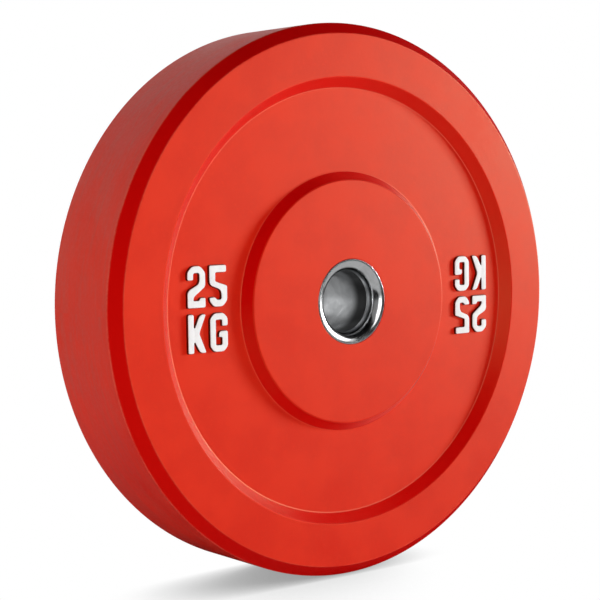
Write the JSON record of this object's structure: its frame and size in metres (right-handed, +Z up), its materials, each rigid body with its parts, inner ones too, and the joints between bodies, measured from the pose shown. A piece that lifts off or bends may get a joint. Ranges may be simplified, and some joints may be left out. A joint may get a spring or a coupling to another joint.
{
  "type": "bumper plate",
  "caption": "Red rubber barbell bumper plate, dished on both faces, with raised rim and hub and a flared steel bore.",
  "frame": {"origin": "centre of the bore at mid width, half a diameter above the floor that the plate stands on", "axes": "+Y along the bore axis, from the front face to the rear face; +Z up, from the tread that it stands on; +X to the right, seen from the front"},
  "size_m": [0.45, 0.096, 0.45],
  "materials": {
    "red_rubber": "satin moulded rubber, fine mottled texture",
    "white_lettering": "satin white, on the tops of the raised figures",
    "polished_steel": "polished stainless steel",
    "bore_steel": "turned steel",
    "anchor_steel": "pressed steel, dull"
  },
  "bodies": {
    "root": {"rubber_disc": "red_rubber", "hub_tube": "bore_steel", "front_mouth_ring": "polished_steel", "rear_mouth_ring": "polished_steel", "front_anchor_disc": "anchor_steel", "rear_anchor_disc": "anchor_steel"}
  },
  "joints": []
}
